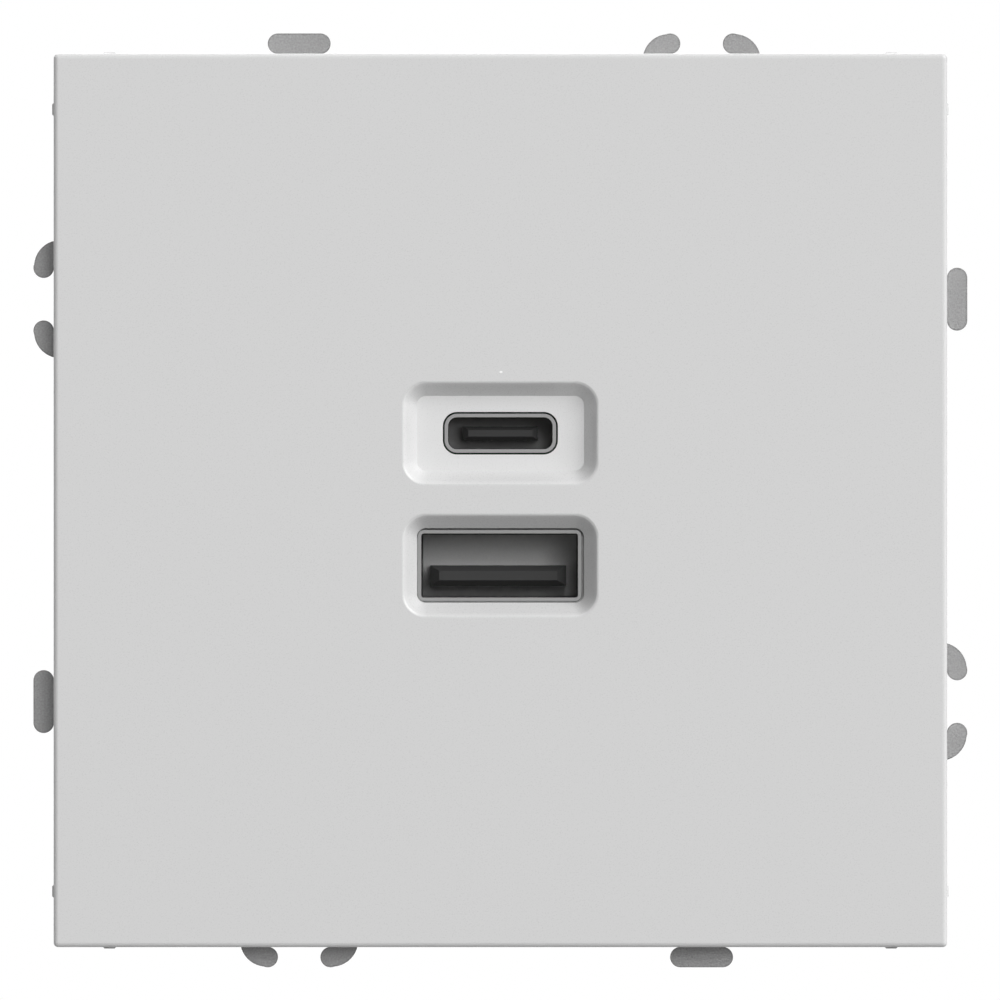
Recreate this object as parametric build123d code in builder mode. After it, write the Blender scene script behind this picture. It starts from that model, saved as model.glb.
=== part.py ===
from build123d import *
from math import cos, radians, sin, tan
import os

# A flush USB wall socket on the 71 mm module, without the trim frame that goes round it.
# The front faces -Y, +X is to the right and +Z is up. Y = 0 is the wall, where the back of the
# steel mounting frame rests, and the origin is the middle of its wall screws.
# Plane.XZ looks out of the wall, so an offset from it is a distance out from the wall.

os.makedirs("parts", exist_ok=True)

# Module and cover, in millimetres
module_pitch = 71.0
cover_gap = 0.05
cover_face = 9.0
cover_rim = 2.0
cover_front_wall = 1.8
cover_side_wall = 1.5
cover_edge_radius = 0.36
cover_boss_depth = 2.8
cover_boss_margin = 1.5
nub_from_corner = 4.4
nub_height = 0.15
nub_width = 1.1
nub_length = 2.2
nub_from_rim = 0.8
prong_width = 4.0
prong_thickness = 1.2
prong_reach = 2.4
prong_clearance = 0.2
prong_barb = 0.14
shoulder_width = 5.0
shoulder_thickness = 2.4
shoulder_gap = 0.6

# Ports
port_spacing = 10.5
port_rise = 0.08
usb_a_shift = -0.06
recess_corner = 1.8
recess_run = 1.05
recess_depth = 1.4
recess_lip = 0.25
port_gap = 0.14
port_setback = 0.1
shell_sheet = 0.28
block_relief = 0.12
block_relief_depth = 1.2
usb_c_opening_width = 8.29
usb_c_opening_height = 2.54
usb_a_opening_width = 12.44
usb_a_opening_height = 5.09

# Steel mounting frame
frame_thickness = 1.2
frame_setback = 2.0
frame_corner_cut = 5.0
wall_screw_spacing = 60.0
wall_slot_width = 4.2
wall_slot_length = 5.2
tab_overlap = 0.82
tab_place = 16.0
tab_length = 5.0
tab_width = 1.62
tab_neck = 2.8
horn_radius = 2.1
horn_inset = 0.52
gang_clearance = 0.1

# Housing and boards
housing_width = 43.4
housing_height = 46.0
housing_corner = 6.0
housing_wall = 1.6
housing_depth = 27.0
housing_back_radius = 1.4
housing_stand_off = 2.2
housing_screw_x = 13.5
housing_screw_radius = 1.1
screw_ear_radius = 2.8
screw_boss_depth = 8.0
screw_boss_wall = 1.3
screw_boss_floor = 1.5
screw_tip_gap = 0.5
screw_hole_clearance = 0.3
frame_hole_clearance = 0.4
flange_front = 2.8
flange_overlap = 2.3
flange_corner = 5.0
tower_room = 0.5
tower_wall = 1.5
tower_gap = 0.3
skirt_clearance = 0.2
skirt_wall = 1.2
window_clearance = 0.2
post_side = 3.6
rib_thickness = 0.8
rib_gap = 0.3
rib_setback = 2.0
wire_window = 5.0
wire_lead_in = 0.8
strip_gauge_length = 11.0
strip_gauge_width = 1.8
strip_gauge_depth = 0.4
driver_hole_radius = 2.0
board_clearance = 0.4
board_thickness = 1.6
port_board_front = 3.6
main_board_front = 9.4

# Claws: the claw turns on its pin while a barrel nut, drawn along a screw, pulls its lever
claw_height = 10.0
claw_gap = 0.4
claw_pin_offset = 1.8
claw_pin_depth = 4.6
claw_pin_radius = 1.0
claw_pin_clearance = 0.06
claw_swing = 28.0
claw_lever = 3.51
claw_half_width = 3.5
claw_sheet = 0.9
claw_length = 17.9
claw_tooth = 1.4
claw_eye_radius = 1.9
claw_screw_radius = 1.45
claw_screw_tail = 9.0
claw_ear_gap = 0.2
claw_ear_window = 6.0
nut_radius = 1.8
nut_pin_radius = 0.9
thread_clearance = 0.05

# Terminals: the screw turns in place and draws the cage down onto the wire
terminal_x = 6.5
terminal_depth = 18.75
terminal_bar_width = 3.6
terminal_bar_thickness = 1.0
terminal_travel = 3.5
terminal_screw_radius = 1.45
terminal_head_radius = 2.4
terminal_head_height = 2.0
terminal_boss_height = 1.1
terminal_boss_wall = 1.0
terminal_seat_gap = 0.1
cage_width = 6.4
cage_depth = 6.5
cage_sheet = 0.9
cage_floor = 1.5
wire_room = 4.2

# What follows from these sizes
cover_side = module_pitch - 2 * cover_gap
cover_boss_back = cover_face - cover_boss_depth
port_c_height = port_rise + port_spacing / 2
port_a_height = port_rise - port_spacing / 2
usb_c_shell_width = usb_c_opening_width + 2 * shell_sheet
usb_c_shell_height = usb_c_opening_height + 2 * shell_sheet
usb_a_shell_width = usb_a_opening_width + 2 * shell_sheet
usb_a_shell_height = usb_a_opening_height + 2 * shell_sheet
floor_width = usb_a_shell_width + 2 * port_gap
floor_height = usb_a_shell_height + 2 * port_gap
recess_width = floor_width + 2 * recess_run
recess_height = floor_height + 2 * recess_run
shell_front = cover_face - recess_depth - port_setback
frame_side = module_pitch - 2 * frame_setback
tab_centre_out = module_pitch / 2 + tab_overlap
inside_width = housing_width - 2 * housing_wall
inside_height = housing_height - 2 * housing_wall
inside_corner = housing_corner - housing_wall
inside_depth = housing_depth - housing_wall
housing_screw_z = housing_height / 2 + housing_stand_off
prong_out = max(housing_width, housing_height) / 2 + housing_stand_off
prong_along = screw_ear_radius + shoulder_gap + shoulder_width / 2 - housing_screw_x
board_width = inside_width - 2 * board_clearance
board_height = inside_height - 2 * board_clearance
board_corner = inside_corner - board_clearance
main_board_back = main_board_front + board_thickness
port_board_back = port_board_front + board_thickness
claw_back = housing_width / 2 + claw_gap
claw_pin_x = claw_back + claw_pin_offset
claw_screw_x = claw_pin_x + claw_lever
claw_nut_rise = claw_lever * tan(radians(claw_swing / 2))
head_bottom = terminal_boss_height + terminal_seat_gap - inside_height / 2
head_top = head_bottom + terminal_head_height
cage_bottom = head_top + rib_gap + terminal_travel
bar_bottom = cage_bottom + cage_floor + rib_gap
bar_top = bar_bottom + terminal_bar_thickness
cage_top = bar_top + wire_room + cage_sheet

quarter_turns = [
    Plane((0, 0, 0), x_dir=(1, 0, 0), z_dir=(0, -1, 0)),
    Plane((0, 0, 0), x_dir=(0, 0, -1), z_dir=(0, -1, 0)),
    Plane((0, 0, 0), x_dir=(-1, 0, 0), z_dir=(0, -1, 0)),
    Plane((0, 0, 0), x_dir=(0, 0, 1), z_dir=(0, -1, 0)),
]


# Front cover: one moulding with both port recesses, a hollow back, snap nubs and prongs
with BuildPart() as front_cover:
    with BuildSketch(Plane.XZ.offset(cover_rim)):
        Rectangle(cover_side, cover_side)
    extrude(amount=cover_face - cover_rim)
    front_edges = front_cover.faces().sort_by(Axis.Y)[0].edges()
    corner_edges = front_cover.edges().filter_by(Axis.Y)
    fillet(front_edges + corner_edges, cover_edge_radius)
    with BuildSketch(Plane.XZ.offset(cover_rim)):
        Rectangle(cover_side - 2 * cover_side_wall, cover_side - 2 * cover_side_wall)
    extrude(amount=cover_face - cover_front_wall - cover_rim, mode=Mode.SUBTRACT)
    with BuildSketch(Plane.XZ.offset(cover_boss_back)):
        with Locations((0, port_rise)):
            Rectangle(
                recess_width + 2 * cover_boss_margin,
                port_spacing + recess_height + 2 * cover_boss_margin,
            )
    extrude(amount=cover_face - cover_front_wall - cover_boss_back)
    for height in (port_c_height, port_a_height):
        with BuildSketch(Plane.XZ.offset(cover_face)):
            with Locations((0, height)):
                RectangleRounded(recess_width, recess_height, recess_corner)
        with BuildSketch(Plane.XZ.offset(cover_face - recess_depth)):
            with Locations((0, height)):
                RectangleRounded(floor_width, floor_height, recess_corner - recess_run)
        loft(ruled=True, mode=Mode.SUBTRACT)
    lips = front_cover.faces().sort_by(Axis.Y)[0].inner_wires()
    fillet([edge for lip in lips for edge in lip.edges()], recess_lip)
    with BuildSketch(Plane.XZ.offset(cover_boss_back)):
        with Locations((0, port_c_height)):
            RectangleRounded(
                usb_c_shell_width + 2 * port_gap,
                usb_c_shell_height + 2 * port_gap,
                usb_c_shell_height * 0.32 + port_gap,
            )
        with Locations((0, port_a_height)):
            RectangleRounded(floor_width, floor_height, recess_corner - recess_run)
    extrude(amount=cover_face - recess_depth - cover_boss_back, mode=Mode.SUBTRACT)
    for side in quarter_turns:
        with BuildSketch(side.offset(frame_thickness)):
            with Locations((prong_along, prong_out)):
                Rectangle(shoulder_width, shoulder_thickness)
        extrude(amount=cover_face - cover_front_wall - frame_thickness)
        with BuildSketch(side.offset(-prong_reach)):
            with Locations((prong_along, prong_out)):
                Rectangle(prong_width, prong_thickness)
        extrude(amount=prong_reach + frame_thickness)
        barb_top = prong_reach / 3
        with BuildSketch(side.offset(-prong_reach)):
            with Locations((prong_along, prong_out)):
                Rectangle(prong_width, prong_thickness - prong_barb)
        with BuildSketch(side.offset(-barb_top)):
            with Locations((prong_along, prong_out)):
                Rectangle(prong_width, prong_thickness + 2 * prong_barb)
        loft(ruled=True)
        nub_place = cover_side / 2 - nub_from_corner
        with BuildSketch(side.offset(cover_rim + nub_from_rim)):
            with Locations((-nub_place, cover_side / 2), (nub_place, cover_side / 2)):
                Polygon(
                    (-nub_width / 2, -nub_height),
                    (nub_width / 2, -nub_height),
                    (nub_width / 2, 0),
                    (nub_width / 2 - nub_height, nub_height),
                    (nub_height - nub_width / 2, nub_height),
                    (-nub_width / 2, 0),
                    align=None,
                )
        extrude(amount=nub_length)
front_cover.part.label = "front_cover"
export_step(front_cover.part, "parts/front_cover.step")


# Mounting frame: steel sheet with a tab and a horn pair on each side, which hook into the next frame
with BuildPart() as mounting_frame:
    ear_window_out = claw_half_width + claw_ear_gap + frame_thickness + claw_ear_window / 2
    with BuildSketch(Plane.XZ) as frame_plan:
        Rectangle(frame_side, frame_side)
        chamfer(frame_plan.vertices(), frame_corner_cut)
        RectangleRounded(inside_width, inside_height, inside_corner, mode=Mode.SUBTRACT)
        with Locations((-wall_screw_spacing / 2, 0), (wall_screw_spacing / 2, 0)):
            SlotOverall(wall_slot_length, wall_slot_width, mode=Mode.SUBTRACT)
        with Locations((0, -wall_screw_spacing / 2), (0, wall_screw_spacing / 2)):
            SlotOverall(wall_slot_length, wall_slot_width, rotation=90, mode=Mode.SUBTRACT)
        with GridLocations(2 * housing_screw_x, 2 * housing_screw_z, 2, 2):
            Circle(housing_screw_radius + frame_hole_clearance, mode=Mode.SUBTRACT)
        for way in (-1, 1):
            with Locations((way * claw_screw_x, -way * claw_height)):
                Circle(claw_screw_radius + 0.25, mode=Mode.SUBTRACT)
            with Locations(
                (way * claw_pin_x, -way * claw_height - ear_window_out),
                (way * claw_pin_x, -way * claw_height + ear_window_out),
            ):
                Rectangle(2 * claw_eye_radius, claw_ear_window, mode=Mode.SUBTRACT)
    extrude(amount=frame_thickness)
    for side in quarter_turns:
        with BuildSketch(side):
            with Locations((prong_along, prong_out)):
                Rectangle(prong_width + 2 * prong_clearance, prong_thickness + 2 * prong_clearance)
        extrude(amount=frame_thickness, mode=Mode.SUBTRACT)
        with BuildSketch(side):
            with Locations((-tab_place, tab_centre_out)):
                SlotOverall(tab_length, tab_width)
            with Locations((-tab_place, (tab_centre_out + frame_side / 2) / 2 - 0.25)):
                Rectangle(tab_neck, tab_centre_out - frame_side / 2 + 0.5)
        extrude(amount=frame_thickness)
        with BuildSketch(side):
            with Locations(
                (tab_place - tab_length / 2 - gang_clearance, module_pitch / 2 - horn_inset),
                (tab_place + tab_length / 2 + gang_clearance, module_pitch / 2 - horn_inset),
            ):
                Circle(horn_radius)
            with Locations((tab_place, module_pitch - tab_centre_out + tab_length / 3)):
                Rectangle(tab_length, tab_length * 2 / 3, mode=Mode.SUBTRACT)
            with Locations(
                (tab_place - tab_length / 2, tab_centre_out),
                (tab_place + tab_length / 2, tab_centre_out),
            ):
                Circle(tab_width / 2)
            with Locations((tab_place, module_pitch - tab_centre_out)):
                SlotOverall(
                    tab_length + 2 * gang_clearance,
                    tab_width + 2 * gang_clearance,
                    mode=Mode.SUBTRACT,
                )
        extrude(amount=frame_thickness)
    for way in (-1, 1):
        ear_start = claw_half_width + claw_ear_gap
        for ear_edge in (ear_start, -ear_start - frame_thickness):
            with BuildSketch(Plane.XY.offset(-way * claw_height + ear_edge)):
                with Locations((way * claw_pin_x, (claw_pin_depth - frame_thickness / 2) / 2)):
                    Rectangle(2 * claw_eye_radius, claw_pin_depth + frame_thickness / 2)
                with Locations((way * claw_pin_x, claw_pin_depth)):
                    Circle(claw_eye_radius)
                    Circle(claw_pin_radius, mode=Mode.SUBTRACT)
            extrude(amount=frame_thickness)
mounting_frame.part.label = "mounting_frame"
export_step(mounting_frame.part, "parts/mounting_frame.step")


# Front housing: a flange on the frame, a tower round the ports and a skirt that the port board rests on
tower_front = cover_boss_back - tower_gap
tower_width = recess_width + 2 * tower_room
tower_height = port_spacing + recess_height + 2 * tower_room
with BuildPart() as housing_front:
    with BuildSketch(Plane.XZ.offset(frame_thickness)):
        RectangleRounded(
            inside_width + 2 * flange_overlap, inside_height + 2 * flange_overlap, flange_corner
        )
        with GridLocations(2 * housing_screw_x, 2 * housing_screw_z, 2, 2):
            Circle(screw_ear_radius)
        with GridLocations(2 * housing_screw_x, 2 * housing_screw_z - screw_ear_radius, 2, 2):
            Rectangle(2 * screw_ear_radius, screw_ear_radius)
    extrude(amount=flange_front - frame_thickness)
    with BuildSketch(Plane.XZ.offset(frame_thickness)):
        with Locations((0, port_rise)):
            RectangleRounded(tower_width + 2 * tower_wall, tower_height + 2 * tower_wall, tower_wall)
    extrude(amount=tower_front - frame_thickness)
    with BuildSketch(Plane.XZ.offset(frame_thickness)):
        with Locations((0, port_rise)):
            RectangleRounded(tower_width, tower_height, tower_wall / 2)
    extrude(amount=tower_front - tower_wall - frame_thickness, mode=Mode.SUBTRACT)
    with BuildSketch(Plane.XZ.offset(-port_board_front)):
        RectangleRounded(
            inside_width - 2 * skirt_clearance,
            inside_height - 2 * skirt_clearance,
            inside_corner - skirt_clearance,
        )
        RectangleRounded(
            inside_width - 2 * skirt_clearance - 2 * skirt_wall,
            inside_height - 2 * skirt_clearance - 2 * skirt_wall,
            inside_corner - skirt_clearance - skirt_wall,
            mode=Mode.SUBTRACT,
        )
    extrude(amount=port_board_front + frame_thickness)
    with BuildSketch(Plane.XZ.offset(tower_front - tower_wall)):
        with Locations((0, port_c_height)):
            RectangleRounded(
                usb_c_shell_width + 2 * window_clearance,
                usb_c_shell_height + 2 * window_clearance,
                usb_c_shell_height * 0.32 + window_clearance,
            )
        with Locations((usb_a_shift, port_a_height)):
            RectangleRounded(
                usb_a_shell_width + 2 * window_clearance,
                usb_a_shell_height + 2 * window_clearance,
                shell_sheet + 2 * window_clearance,
            )
    extrude(amount=tower_wall, mode=Mode.SUBTRACT)
    with BuildSketch(Plane.XZ.offset(frame_thickness)):
        with GridLocations(2 * housing_screw_x, 2 * housing_screw_z, 2, 2):
            Circle(housing_screw_radius + screw_hole_clearance)
    extrude(amount=flange_front - frame_thickness, mode=Mode.SUBTRACT)
housing_front.part.label = "housing_front"
export_step(housing_front.part, "parts/housing_front.step")


# Rear housing: a cup with wire windows and a strip gauge in its back, screwdriver holes below and ribs
# beside the terminals
rib_top = cage_top + cage_sheet / 2
rib_length = rib_top + inside_height / 2
rib_out = cage_width / 2 + rib_gap + rib_thickness / 2
with BuildPart() as housing_rear:
    with BuildSketch(Plane.XZ.offset(-housing_depth)):
        RectangleRounded(housing_width, housing_height, housing_corner)
    extrude(amount=housing_depth)
    fillet(housing_rear.faces().sort_by(Axis.Y)[-1].edges(), housing_back_radius)
    with BuildSketch(Plane.XZ.offset(-inside_depth)):
        RectangleRounded(inside_width, inside_height, inside_corner)
    extrude(amount=inside_depth, mode=Mode.SUBTRACT)
    with BuildSketch(Plane.XZ.offset(-inside_depth)):
        with GridLocations(inside_width - post_side, inside_height - post_side, 2, 2):
            Rectangle(post_side, post_side)
        RectangleRounded(
            inside_width + housing_wall,
            inside_height + housing_wall,
            inside_corner + housing_wall / 2,
            mode=Mode.INTERSECT,
        )
    extrude(amount=inside_depth - main_board_back)
    with BuildSketch(Plane.XZ.offset(-inside_depth)):
        for across in (-terminal_x, terminal_x):
            with Locations((across - rib_out, rib_top - rib_length / 2), (across + rib_out, rib_top - rib_length / 2)):
                Rectangle(rib_thickness, rib_length)
    extrude(amount=inside_depth - main_board_back - rib_setback)
    with BuildSketch(Plane.XY.offset(-inside_height / 2)):
        with Locations((-terminal_x, terminal_depth), (terminal_x, terminal_depth)):
            Circle(driver_hole_radius + terminal_boss_wall)
    extrude(amount=terminal_boss_height)
    with BuildSketch(Plane.XZ.offset(-screw_boss_depth)):
        with GridLocations(2 * housing_screw_x, 2 * housing_screw_z, 2, 2):
            Circle(housing_screw_radius + screw_boss_wall)
        with GridLocations(2 * housing_screw_x, 2 * housing_screw_z - screw_ear_radius, 2, 2):
            Rectangle(2 * housing_screw_radius + 2 * screw_boss_wall, screw_ear_radius)
    extrude(amount=screw_boss_depth)
    with BuildSketch(Plane.XZ.offset(screw_boss_floor - screw_boss_depth)):
        with GridLocations(2 * housing_screw_x, 2 * housing_screw_z, 2, 2):
            Circle(housing_screw_radius)
    extrude(amount=screw_boss_depth - screw_boss_floor, mode=Mode.SUBTRACT)
    with BuildSketch(Plane.XY.offset(-housing_height / 2)):
        with Locations((-terminal_x, terminal_depth), (terminal_x, terminal_depth)):
            Circle(driver_hole_radius)
    extrude(amount=housing_wall + terminal_boss_height, mode=Mode.SUBTRACT)
    with BuildSketch(Plane.XZ.offset(-housing_depth)):
        with Locations((-terminal_x, bar_top + wire_room / 2), (terminal_x, bar_top + wire_room / 2)):
            Rectangle(wire_window, wire_window)
    extrude(amount=housing_wall, mode=Mode.SUBTRACT)
    window_edges = [
        edge for wire in housing_rear.faces().sort_by(Axis.Y)[-1].inner_wires() for edge in wire.edges()
    ]
    chamfer(window_edges, wire_lead_in)
    with BuildSketch(Plane.XZ.offset(-housing_depth)):
        with Locations((0, housing_height / 4)):
            Rectangle(strip_gauge_length, strip_gauge_width)
        with Locations((-strip_gauge_length / 2, housing_height / 4)):
            Rectangle(strip_gauge_width / 3, 2 * strip_gauge_width)
        with Locations((strip_gauge_length / 2, housing_height / 4)):
            Rectangle(strip_gauge_width / 3, 2 * strip_gauge_width)
    extrude(amount=strip_gauge_depth, mode=Mode.SUBTRACT)
housing_rear.part.label = "housing_rear"
export_step(housing_rear.part, "parts/housing_rear.step")


# Housing screws: four self-tapping screws from the flange through the frame into the rear housing
screw_head_height = 1.6
screw_head_radius = 2.3
screw_recess = 0.6
with BuildPart() as housing_screws:
    with BuildSketch(Plane.XZ.offset(screw_boss_floor + screw_tip_gap - screw_boss_depth)):
        with GridLocations(2 * housing_screw_x, 2 * housing_screw_z, 2, 2):
            Circle(housing_screw_radius)
    extrude(amount=screw_boss_depth - screw_boss_floor - screw_tip_gap + flange_front)
    with BuildSketch(Plane.XZ.offset(flange_front)):
        with GridLocations(2 * housing_screw_x, 2 * housing_screw_z, 2, 2):
            Circle(screw_head_radius)
    extrude(amount=screw_head_height)
    fillet(housing_screws.faces().group_by(Axis.Y)[0].edges(), screw_head_height * 0.375)
    with BuildSketch(Plane.XZ.offset(flange_front + screw_head_height - 0.9)):
        with GridLocations(2 * housing_screw_x, 2 * housing_screw_z, 2, 2):
            Rectangle(screw_head_radius + 0.3, screw_recess)
            Rectangle(screw_recess, screw_head_radius + 0.3)
    extrude(amount=0.9, mode=Mode.SUBTRACT)
housing_screws.part.label = "housing_screws"
export_step(housing_screws.part, "parts/housing_screws.step")


# Claws: on each side a toothed channel on a pin, with a screw and a barrel nut that pull its lever
lever_reach = claw_lever / cos(radians(claw_swing / 2))
lever_slot = (claw_lever + lever_reach) / 2
nut_depth = claw_pin_depth + claw_nut_rise
claw_end = claw_pin_depth + claw_length
for hand, way in (("left", -1), ("right", 1)):
    claw_middle = -way * claw_height
    with BuildPart() as claw:
        with BuildSketch(Plane.XY.offset(claw_middle - claw_half_width)):
            with Locations((way * claw_pin_x, claw_pin_depth), (way * claw_screw_x, nut_depth)):
                Circle(claw_eye_radius)
            with Locations((way * (claw_pin_x + claw_lever / 2), (claw_pin_depth + nut_depth) / 2)):
                Rectangle(lever_reach, 2 * claw_eye_radius, rotation=way * claw_swing / 2)
            Polygon(
                (way * claw_back, claw_pin_depth + 0.6),
                (way * claw_back, claw_end),
                (way * (claw_back + 1.5), claw_end),
                (way * (claw_back + 2.2), claw_pin_depth + 7.4),
                (way * (claw_back + 4.3), claw_pin_depth + 2.7),
                (way * (claw_back + 2.4), claw_pin_depth),
                align=None,
            )
        extrude(amount=2 * claw_half_width)
        with BuildSketch(Plane.XY.offset(claw_middle - claw_half_width + claw_sheet)):
            with Locations((way * (claw_back + claw_sheet + 5.0), claw_pin_depth + claw_length / 2)):
                Rectangle(10.0, claw_length + 10.0)
            with Locations((way * claw_pin_x, claw_pin_depth - 1.6)):
                Rectangle(10.0, 6.4)
        extrude(amount=2 * claw_half_width - 2 * claw_sheet, mode=Mode.SUBTRACT)
        tooth_root = claw_back + 3 * claw_sheet
        tooth_tip = tooth_root + claw_tooth
        tooth_step = claw_half_width / 3
        with BuildSketch(Plane.XZ.offset(-claw_end)):
            with Locations((0, claw_middle)):
                Polygon(
                    (way * claw_back, -claw_half_width),
                    (way * tooth_root, -claw_half_width),
                    (way * tooth_tip, -2 * tooth_step),
                    (way * tooth_root, -tooth_step),
                    (way * tooth_tip, 0),
                    (way * tooth_root, tooth_step),
                    (way * tooth_tip, 2 * tooth_step),
                    (way * tooth_root, claw_half_width),
                    (way * claw_back, claw_half_width),
                    align=None,
                )
        extrude(amount=claw_sheet)
        with BuildSketch(Plane.XY.offset(claw_middle - claw_half_width)):
            with Locations((way * claw_pin_x, claw_pin_depth)):
                Circle(claw_pin_radius + claw_pin_clearance)
            with Locations(
                (
                    way * (claw_pin_x + lever_slot * cos(radians(claw_swing / 2))),
                    claw_pin_depth + lever_slot * sin(radians(claw_swing / 2)),
                )
            ):
                SlotCenterToCenter(
                    lever_reach - claw_lever + 2 * claw_pin_clearance,
                    2 * nut_pin_radius + 0.16,
                    rotation=way * claw_swing / 2,
                )
        extrude(amount=2 * claw_half_width, mode=Mode.SUBTRACT)
    claw.part.label = f"claw_{hand}"
    export_step(claw.part, f"parts/claw_{hand}.step")

    with BuildPart() as claw_pin:
        pin_half = claw_half_width + claw_ear_gap + frame_thickness
        with BuildSketch(Plane.XY.offset(claw_middle - pin_half)):
            with Locations((way * claw_pin_x, claw_pin_depth)):
                Circle(claw_pin_radius)
        extrude(amount=2 * pin_half)
        with BuildSketch(Plane.XY.offset(claw_middle - pin_half), Plane.XY.offset(claw_middle + pin_half + 0.4)):
            with Locations((way * claw_pin_x, claw_pin_depth)):
                Circle(claw_pin_radius + 0.45)
        extrude(amount=-0.4)
    claw_pin.part.label = f"claw_pin_{hand}"
    export_step(claw_pin.part, f"parts/claw_pin_{hand}.step")

    with BuildPart() as claw_screw:
        with BuildSketch(Plane.XZ.offset(-claw_screw_tail)):
            with Locations((way * claw_screw_x, claw_middle)):
                Circle(claw_screw_radius)
        extrude(amount=claw_screw_tail + frame_thickness)
        with BuildSketch(Plane.XZ.offset(frame_thickness)):
            with Locations((way * claw_screw_x, claw_middle)):
                Circle(claw_screw_radius + 1.15)
        extrude(amount=1.9)
        fillet(claw_screw.faces().sort_by(Axis.Y)[0].edges(), 0.5)
        with BuildSketch(Plane.XZ.offset(-0.8)):
            with Locations((way * claw_screw_x, claw_middle)):
                Circle(claw_screw_radius + 0.65)
        extrude(amount=0.7)
        with BuildSketch(Plane.XZ.offset(frame_thickness + 0.9)):
            with Locations((way * claw_screw_x, claw_middle)):
                Rectangle(2 * claw_screw_radius + 3.1, 0.8)
        extrude(amount=1.0, mode=Mode.SUBTRACT)
        chamfer(claw_screw.faces().sort_by(Axis.Y)[-1].edges(), 0.4)
    claw_screw.part.label = f"claw_screw_{hand}"
    export_step(claw_screw.part, f"parts/claw_screw_{hand}.step")

    with BuildPart() as claw_nut:
        nut_half = claw_half_width - claw_sheet - claw_ear_gap
        with BuildSketch(Plane.XY.offset(claw_middle - claw_half_width)):
            with Locations((way * claw_screw_x, nut_depth)):
                Circle(nut_pin_radius)
        extrude(amount=2 * claw_half_width)
        with BuildSketch(Plane.XY.offset(claw_middle - nut_half)):
            with Locations((way * claw_screw_x, nut_depth)):
                Circle(nut_radius)
        extrude(amount=2 * nut_half)
        with BuildSketch(Plane.XZ.offset(-nut_depth - nut_radius - 0.7)):
            with Locations((way * claw_screw_x, claw_middle)):
                Circle(claw_screw_radius + thread_clearance)
        extrude(amount=2 * nut_radius + 1.4, mode=Mode.SUBTRACT)
    claw_nut.part.label = f"claw_nut_{hand}"
    export_step(claw_nut.part, f"parts/claw_nut_{hand}.step")


# Port board: carries both ports on its front and the converter parts on its back
header_pitch = 2.54
header_pin = 0.64
header_thickness = 2.5
header_pins_count = 5
header_end = 0.15
header_pin_tail = 1.2
header_pin_lead = 1.0
header_height = board_height / 2 - 2.45
with BuildPart() as port_board:
    with BuildSketch(Plane.XZ.offset(-port_board_back)):
        RectangleRounded(board_width, board_height, board_corner)
        with Locations((0, header_height)):
            with GridLocations(header_pitch, header_pitch, header_pins_count, 1):
                Circle(header_pin * 0.78, mode=Mode.SUBTRACT)
    extrude(amount=board_thickness)
port_board.part.label = "port_board"
export_step(port_board.part, "parts/port_board.step")


# Type-C port: a drawn steel shell, a tongue with chamfered front and contacts let into both of its faces
usb_c_tongue_width = 5.95
usb_c_tongue_thickness = 1.08
usb_c_tongue_setback = 1.0
usb_c_back_wall = 1.0
usb_c_nose = 0.45
usb_c_nose_side = 0.435
usb_c_nose_top = 0.28
usb_c_contact_width = 0.25
usb_c_contact_thickness = 0.1
usb_c_contact_pitch = 0.45
usb_c_tongue_front = shell_front - usb_c_tongue_setback
usb_c_contact_length = usb_c_tongue_front - 2 * usb_c_nose - usb_c_back_wall
with BuildPart() as usb_c_shell:
    with BuildSketch(Plane.XZ.offset(-port_board_front)):
        with Locations((0, port_c_height)):
            RectangleRounded(usb_c_shell_width, usb_c_shell_height, usb_c_shell_height * 0.32)
            RectangleRounded(
                usb_c_opening_width,
                usb_c_opening_height,
                usb_c_shell_height * 0.32 - shell_sheet,
                mode=Mode.SUBTRACT,
            )
    extrude(amount=shell_front + port_board_front)
usb_c_shell.part.label = "usb_c_shell"
export_step(usb_c_shell.part, "parts/usb_c_shell.step")

with BuildPart() as usb_c_insulator:
    with BuildSketch(Plane.XZ.offset(-port_board_front)):
        with Locations((0, port_c_height)):
            RectangleRounded(
                usb_c_opening_width, usb_c_opening_height, usb_c_shell_height * 0.32 - shell_sheet
            )
    extrude(amount=port_board_front + usb_c_back_wall - block_relief_depth)
    with BuildSketch(Plane.XZ.offset(usb_c_back_wall - block_relief_depth)):
        with Locations((0, port_c_height)):
            RectangleRounded(
                usb_c_opening_width - block_relief,
                usb_c_opening_height - block_relief,
                usb_c_shell_height * 0.32 - shell_sheet - block_relief / 2,
            )
    extrude(amount=block_relief_depth)
    with BuildSketch(Plane.XZ.offset(usb_c_back_wall)):
        with Locations((0, port_c_height)):
            Rectangle(usb_c_tongue_width, usb_c_tongue_thickness)
    extrude(amount=usb_c_tongue_front - usb_c_nose - usb_c_back_wall)
    with BuildSketch(Plane.XZ.offset(usb_c_tongue_front - usb_c_nose)):
        with Locations((0, port_c_height)):
            Rectangle(usb_c_tongue_width, usb_c_tongue_thickness)
    with BuildSketch(Plane.XZ.offset(usb_c_tongue_front)):
        with Locations((0, port_c_height)):
            Rectangle(usb_c_tongue_width - 2 * usb_c_nose_side, usb_c_tongue_thickness - 2 * usb_c_nose_top)
    loft(ruled=True)
    with BuildSketch(Plane.XZ.offset(usb_c_back_wall)):
        with Locations((0, port_c_height)):
            with GridLocations(usb_c_contact_pitch, usb_c_tongue_thickness - usb_c_contact_thickness, 12, 2):
                Rectangle(usb_c_contact_width, usb_c_contact_thickness)
    extrude(amount=usb_c_contact_length, mode=Mode.SUBTRACT)
usb_c_insulator.part.label = "usb_c_insulator"
export_step(usb_c_insulator.part, "parts/usb_c_insulator.step")

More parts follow.
